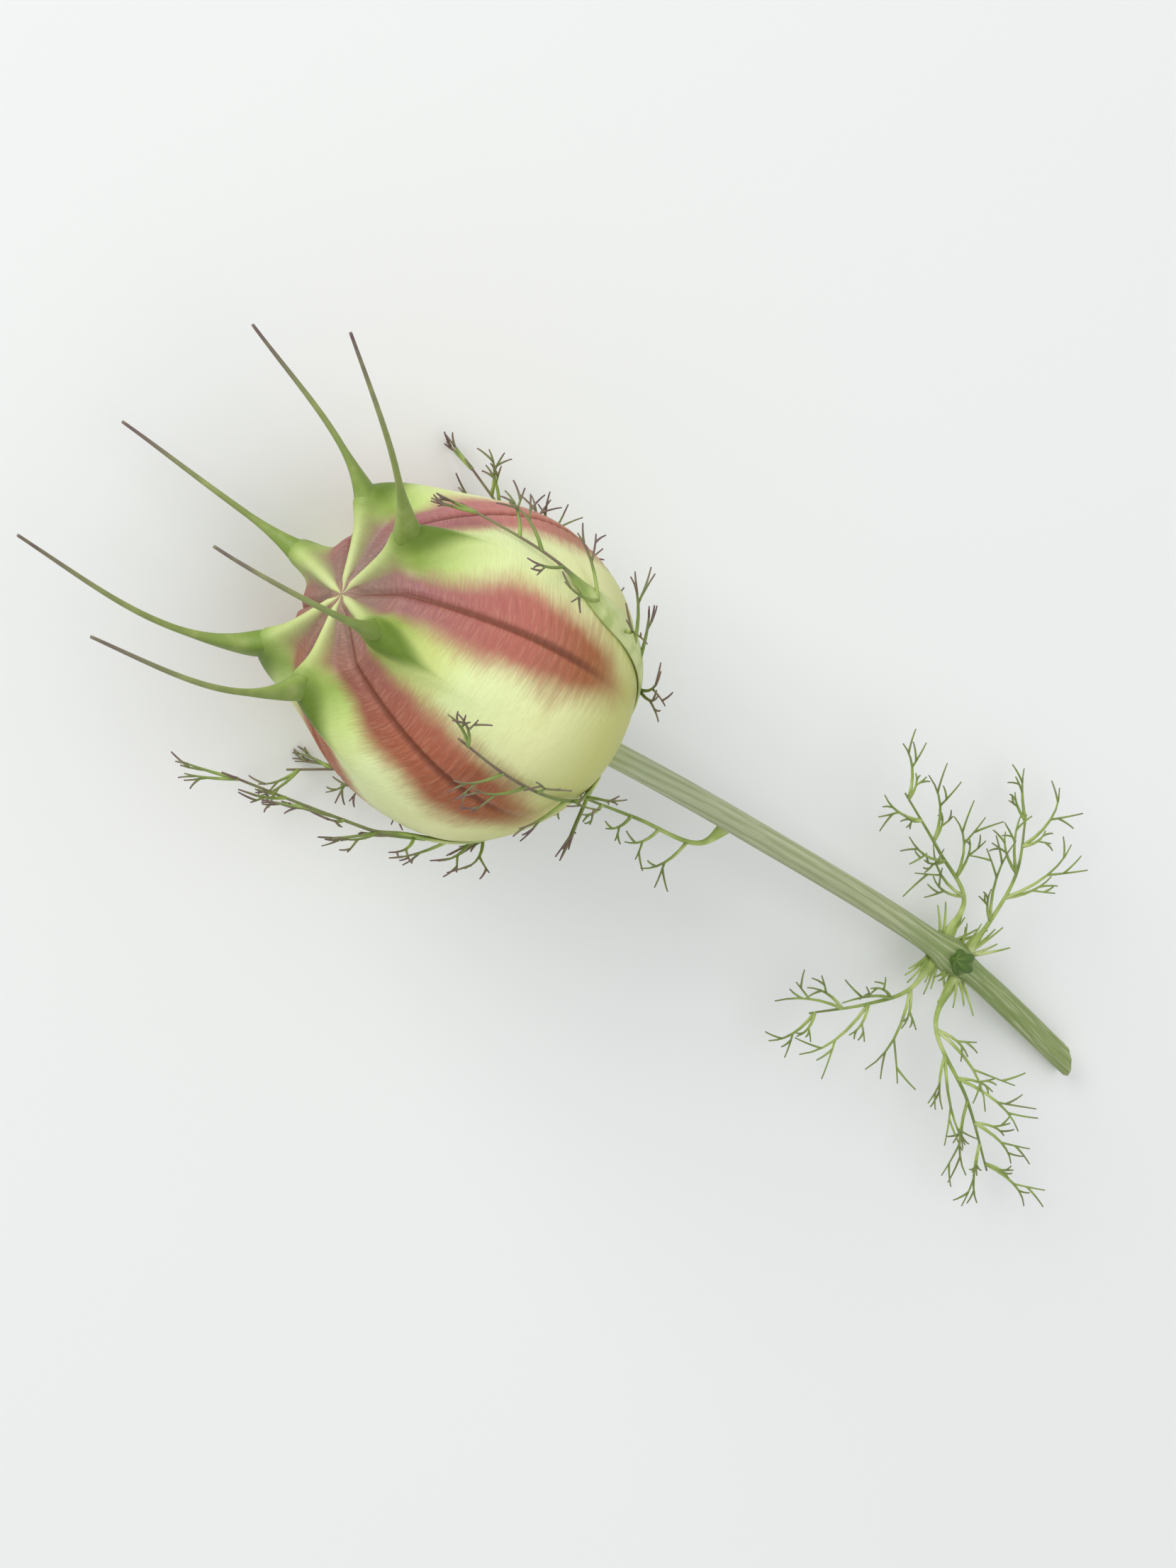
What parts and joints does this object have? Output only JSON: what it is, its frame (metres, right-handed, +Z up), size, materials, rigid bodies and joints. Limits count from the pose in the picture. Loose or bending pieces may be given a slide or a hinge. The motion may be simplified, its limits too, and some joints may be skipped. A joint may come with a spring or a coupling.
{
  "type": "nigella seed pod",
  "caption": "Inflated striped nigella seed capsule with horns on its star crown, a ruff of thread bracts, and a cut leafy stem, lying on its side.",
  "frame": {"origin": "middle of the small flat spot that the capsule rests on, on the surface under the capsule's middle", "axes": "+Z up from the surface, +X along the stem to its cut end, horns towards -X"},
  "size_m": [0.115, 0.0369, 0.0321],
  "materials": {
    "capsule_skin": "thin satin plant skin",
    "stem_skin": "ridged green stem, satin",
    "thread_green": "fine green threads"
  },
  "bodies": {
    "root": {"capsule": "capsule_skin", "bract_1": "thread_green", "bract_2": "thread_green", "bract_3": "thread_green", "bract_4": "thread_green", "bract_5": "thread_green", "stem": "stem_skin", "leaf_1": "thread_green", "leaf_2": "thread_green", "leaf_3": "thread_green", "leaf_4": "thread_green", "leaf_5": "thread_green"}
  },
  "joints": []
}
